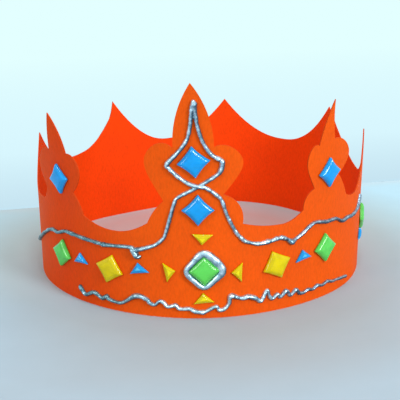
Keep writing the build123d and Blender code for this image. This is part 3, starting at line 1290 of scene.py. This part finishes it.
@dataclass(kw_only=True)
class GemSetting(SilverLine):
    """The silver line drawn round the middle gem, fatter at its upper right.

    Angles are in the gem's own plane, 0 at its top corner, anticlockwise.
    """

    name: str = "silver_line_round_gem"
    node: str = "silver_setting"
    gem: str = "green_gem_middle"
    half_side: float = 6.15 * MM
    corner_power: float = 4.75
    height: float = 1.7 * MM
    thin: float = 2.7 * MM
    fat: float = 3.9 * MM
    fat_angle: float = 45.0
    sag: float = 0.3 * MM
    sink: float = 0.3 * MM
    voxel: float = 0.0002
    lumpiness: float = 0.14
    lump_scale: float = 330.0
    stations: int = 160
    tangent_reach: float = 0.05

    def build(self, nodes: dict[str, Object], gem: FlatGem, material: Material) -> None:
        """Sweep the line round the gem and dress it.

        Args:
            nodes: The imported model's nodes.
            gem: The square gem, which finds its seat.
            material: The silver paint.
        """
        seat = gem.seat(nodes[self.gem])
        rings: list[list[Vector]] = []
        for station in range(self.stations + 1):
            angle = 2 * math.pi * (station % self.stations) / self.stations
            rings.append([seat @ point for point in self.ring_at(angle)])
        self.finish([solid_of_rings(self.name, rings)], material)

    def fatness(self, angle: float) -> float:
        """How fat the line is at an angle round the gem, from 0, thin, to 1, fat."""
        return ((1 + math.cos(angle + math.radians(self.fat_angle))) / 2) ** 2

    def middle(self, angle: float) -> Vector:
        """The middle of the line at an angle round the gem, on the gem's back plane.

        Args:
            angle: The angle.

        Returns:
            The point.
        """
        power = self.corner_power
        turned = angle + math.pi / 4
        spread = abs(math.cos(turned)) ** power + abs(math.sin(turned)) ** power
        fatter = (self.fat - self.thin) / 2 * self.fatness(angle)
        reach = self.half_side / spread ** (1 / power) + fatter
        return Vector((math.cos(angle) * reach - self.sag, math.sin(angle) * reach, 0))

    def ring_at(self, angle: float) -> list[Vector]:
        """The line's section at an angle round the gem.

        Args:
            angle: The angle.

        Returns:
            The section's points, in the gem's own frame.
        """
        middle = self.middle(angle)
        ahead = self.middle(angle + self.tangent_reach) - self.middle(angle - self.tangent_reach)
        outward = Vector((ahead.y, -ahead.x, 0)).normalized()
        size = 1 + noise.noise(middle * self.lump_scale) * self.lumpiness
        width = (self.thin + (self.fat - self.thin) * self.fatness(angle)) * size
        return self.section(middle, outward, Vector((0, 0, 1)), width, self.height * size)


def curve(before: float, start: float, end: float, after: float, share: float) -> float:
    """A value on a smooth curve through four values, between the middle two.

    Args:
        before: The value before the start.
        start: The value at share 0.
        end: The value at share 1.
        after: The value after the end.
        share: How far along, 0 to 1.

    Returns:
        The value there.
    """
    leave = (end - before) / 2
    arrive = (after - start) / 2
    square, cube = share**2, share**3
    return (
        start * (2 * cube - 3 * square + 1)
        + leave * (cube - 2 * square + share)
        + end * (3 * square - 2 * cube)
        + arrive * (cube - square)
    )


def solid_of_rings(name: str, rings: list[list[Vector]]) -> Object:
    """Join a row of rings into a closed solid.

    Args:
        name: The object's name.
        rings: Rings with equal numbers of points.

    Returns:
        The solid.
    """
    count = len(rings[0])
    last = (len(rings) - 1) * count
    faces: list[list[int]] = []
    for start in range(0, last, count):
        for index in range(count):
            near, beside = start + index, start + (index + 1) % count
            faces.append([near, beside, beside + count, near + count])
    faces.append(list(range(count))[::-1])
    faces.append([last + index for index in range(count)])
    mesh = bpy.data.meshes.new(name)
    mesh.from_pydata([point for ring in rings for point in ring], [], faces)
    piece = placed(name, mesh)
    with edited(piece):
        bpy.ops.mesh.normals_make_consistent(inside=False)
    return piece


def places(*rows: tuple[float, ...]) -> list[Place]:
    """A strand's places, from rows of turn, height and, where they aren't plain, swell and lift."""
    return [Place(*row) for row in rows]


@dataclass
class CrownTrim:
    """Where the silver paint runs, as turns in degrees and heights in millimetres."""

    blob: float = 1.5
    lump: float = 1.3
    end: float = 1.15
    plain: float = 1.0
    thin: float = 0.78
    taper: float = 0.45

    def upper(self) -> list[list[Place]]:
        """The strands that climb the tall fleur, and the drip below one of them."""
        return [self.left_strand(), self.right_strand(), self.drip()]

    def lower(self) -> list[list[Place]]:
        """The strand near the rim."""
        return [self.rim_strand()]

    def left_strand(self) -> list[Place]:
        """The strand that starts at the left and climbs the fleur to its right.

        Returns:
            Its places.
        """
        return places(
            (-73.6, 14.6, self.taper), (-73.0, 15.2, self.end), (-66.0, 20.3), (-59.2, 25.7),
            (-53.7, 29.5), (-49.0, 29.9), (-44.9, 32.0), (-40.4, 32.0), (-37.9, 31.8),
            (-30.2, 31.2), (-28.3, 31.0, self.blob), (-26.6, 31.1), (-19.3, 31.8),
            (-17.7, 30.8, self.blob), (-12.4, 33.3), (-10.8, 34.6), (-9.3, 36.6), (-8.2, 39.4),
            (-5.6, 52.8), (-4.3, 56.1), (0.5, 60.2), (6.2, 65.5), (7.6, 67.9, self.lump),
            (8.0, 70.5, self.lump), (7.7, 72.2, self.lump), (5.0, 74.9), (2.7, 80.2), (1.3, 86.7),
            (0.85, 91.2), (0.6, 94.2, self.end), (0.35, 96.6, self.blob), (0.2, 97.6, self.end),
            (0.2, 98.3, self.taper),
        )

    def right_strand(self) -> list[Place]:
        """The strand that comes down from the fleur's top and ends at the right.

        Returns:
            Its places.
        """
        return places(
            (-0.1, 96.2, self.plain, 0.12), (-0.2, 94.2, self.end, 0.12), (-0.45, 91.2),
            (-0.75, 86.7), (-1.6, 81.5), (-3.6, 76.8), (-7.2, 70.7, self.lump), (-6.7, 68.9),
            (-4.1, 65.1), (-1.2, 62.2), (1.6, 60.9, self.plain, 0.45), (3.6, 60.2), (6.9, 56.4),
            (8.1, 53.9), (9.5, 47.7), (12.0, 40.2), (13.6, 37.1), (15.3, 35.0), (19.0, 33.4),
            (22.2, 33.8, self.lump), (23.6, 34.0), (24.8, 34.5, self.lump), (25.8, 34.5),
            (26.8, 34.6, self.lump), (28.6, 33.3), (30.1, 31.8, self.blob), (31.7, 32.7),
            (34.4, 34.8), (36.5, 36.8), (39.2, 38.2), (44.2, 37.0), (48.7, 36.8), (52.4, 34.3),
            (55.7, 34.6), (60.3, 34.0), (65.2, 35.1), (67.5, 37.9), (69.0, 40.0, self.end),
            (69.4, 40.6, self.taper),
        )

    def drip(self) -> list[Place]:
        """The short drip under the left strand.

        Returns:
            Its places.
        """
        return places(
            (-18.6, 31.4, self.end, 0.12), (-17.9, 29.8, self.blob, 0.2),
            (-17.1, 28.2, self.blob, 0.12), (-16.4, 27.8, self.end), (-15.9, 28.6, self.taper),
        )

    def rim_strand(self) -> list[Place]:
        """The wavy strand near the rim.

        Returns:
            Its places.
        """
        return places(
            (-39.2, 7.5, self.taper), (-38.7, 7.1, self.end), (-38.0, 5.9, self.lump),
            (-36.2, 4.1), (-32.8, 6.4), (-29.7, 4.7), (-27.9, 6.1, self.lump), (-27.0, 4.9),
            (-22.7, 4.5), (-17.8, 9.0, self.lump), (-14.4, 8.0), (-13.5, 6.5), (-11.9, 5.7),
            (-10.4, 7.7), (-9.1, 7.1), (-7.9, 5.3), (-5.6, 6.2, self.lump), (-4.4, 4.6),
            (-1.4, 4.7), (0.1, 3.5), (2.4, 3.1, self.lump), (3.3, 3.4), (6.3, 5.6), (7.2, 3.9),
            (8.7, 4.1), (10.2, 6.6), (10.8, 10.1, self.lump), (13.9, 8.6, self.end),
            (16.1, 9.0, self.lump), (18.2, 7.9, self.lump), (20.2, 6.1), (22.0, 10.8), (22.9, 7.7),
            (23.9, 6.2), (25.6, 7.9), (26.6, 6.1), (28.7, 8.7), (30.2, 6.0), (32.3, 8.0),
            (33.6, 5.9), (35.4, 5.5, self.thin), (37.1, 6.3), (39.0, 5.7, self.thin), (41.0, 6.8),
            (43.2, 6.0, self.thin), (45.6, 6.9), (48.2, 5.8, self.thin), (51.2, 5.4, self.thin),
            (56.8, 4.2), (57.4, 4.0, self.taper),
        )


@dataclass
class TableTop:
    """The pale table top that the crown stands on."""

    name: str = "table_top"
    reach: float = 7.0
    cuts: int = 9
    finish: TableFinish = TableFinish()

    def build(self) -> None:
        """Make the table top and dress it."""
        bpy.ops.mesh.primitive_plane_add(size=2 * self.reach)
        top = bpy.context.active_object
        top.name = self.name
        with edited(top):
            bpy.ops.mesh.subdivide(number_cuts=self.cuts)
        dress(top, self.finish.material())


@dataclass(frozen=True)
class Room:
    """Even pale light all round, stronger from above, and a plain pale backdrop."""

    name: str = "pale_room"
    light: Colour = (1.0, 0.89, 0.84)
    backdrop: Colour = shade(228, 254, 255)
    heights: Span = (0.1, 0.9)
    strengths: Span = (0.36, 1.0)

    def build(self) -> None:
        """Make the world."""
        world = bpy.data.worlds.new(self.name)
        bpy.context.scene.world = world
        world.use_nodes = True
        bench = NodeBench(world.node_tree)
        way = bench.node("SeparateXYZ", {"Vector": bench.node("TexCoord").outputs["Generated"]})
        strength = bench.ranged(way.outputs["Z"], *self.heights, *self.strengths)
        light = bench.node("Background", {"Color": (*self.light, 1), "Strength": strength})
        plain = bench.node("Background", {"Color": (*self.backdrop, 1), "Strength": 1.0})
        both = (light.outputs["Background"], plain.outputs["Background"])
        bench.node("OutputWorld", {"Surface": bench.mixed(bench.backdrop_rays(), *both)})


@dataclass(frozen=True)
class Lamp:
    """A soft square lamp that faces the crown, its size in metres and its power in watts."""

    name: str
    place: Point
    size: float
    power: float
    aim: Point = (0.0, 0.0, 0.04)

    def build(self) -> None:
        """Hang the lamp."""
        bpy.ops.object.light_add(type="AREA", location=self.place)
        lamp = bpy.context.active_object
        lamp.name = self.name
        lamp.data.energy = self.power
        lamp.data.shape = "SQUARE"
        lamp.data.size = self.size
        lamp.rotation_mode = "QUATERNION"
        way = Vector(self.aim) - Vector(self.place)
        lamp.rotation_quaternion = way.to_track_quat("-Z", "Y")


@dataclass(frozen=True)
class PhotoCamera:
    """The camera, where the photograph was taken: angles in degrees, lens in millimetres."""

    name: str = "photo_camera"
    eye: Point = (0.012615, -0.41079, 0.155569)
    yaw: float = 1.7547
    pitch: float = 17.312
    roll: float = -0.436
    lens: float = 72.19
    sensor: float = 36.0
    clip: Span = (0.01, 50.0)

    def build(self) -> None:
        """Set up the camera."""
        data = bpy.data.cameras.new(self.name)
        data.lens = self.lens
        data.sensor_width = self.sensor
        data.clip_start, data.clip_end = self.clip
        camera = bpy.data.objects.new(self.name, data)
        bpy.context.collection.objects.link(camera)
        turn = Matrix.Rotation(math.radians(self.yaw), 4, "Z")
        tilt = Matrix.Rotation(math.radians(90 - self.pitch), 4, "X")
        roll = Matrix.Rotation(math.radians(self.roll), 4, "Z")
        camera.matrix_world = Matrix.Translation(Vector(self.eye)) @ turn @ tilt @ roll
        bpy.context.scene.camera = camera


@dataclass
class Studio:
    """Pale table, plain soft lights and the camera of the photograph."""

    table: TableTop = field(default_factory=TableTop)
    room: Room = Room()
    lamps: tuple[Lamp, ...] = (
        Lamp("window", (0.95, -0.95, 0.62), size=0.4, power=11.5),
        Lamp("side_lamp", (-0.82, -0.86, 0.46), size=0.28, power=2.6),
        Lamp("ceiling", (0.1, -0.3, 1.2), size=0.25, power=2.5),
    )
    camera: PhotoCamera = PhotoCamera()

    def build(self) -> None:
        """Make the table, the lights and the camera."""
        for part in (self.table, self.room, *self.lamps, self.camera):
            part.build()
            LOG.info("studio: %s", part.name)


def main() -> None:
    """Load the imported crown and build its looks."""
    logging.basicConfig(level=logging.INFO, format="%(message)s")
    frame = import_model()
    bpy.context.scene.view_settings.view_transform = "Standard"
    nodes = frame["nodes"]
    Studio().build()
    sheet = CardSheet()
    face = CardFace(nodes[sheet.node])
    sheet.build(nodes, face)
    gems = GemSet()
    gems.build(nodes)
    silver = SilverFinish().material()
    trim = CrownTrim()
    PaintBead(name="silver_scroll", node="upper_bead", strands=trim.upper()).build(face, silver)
    PaintBead(name="silver_wave", node="lower_bead", strands=trim.lower()).build(face, silver)
    # The line round the gem gets a lighter painted shade below, so it looks brighter.
    lighter_shaded_silver = SilverFinish(name="silver_paint_round_gem", painted_shade_below=shade(132, 158, 174))
    GemSetting().build(nodes, gems.square, lighter_shaded_silver.material())


if __name__ == "__main__":
    main()
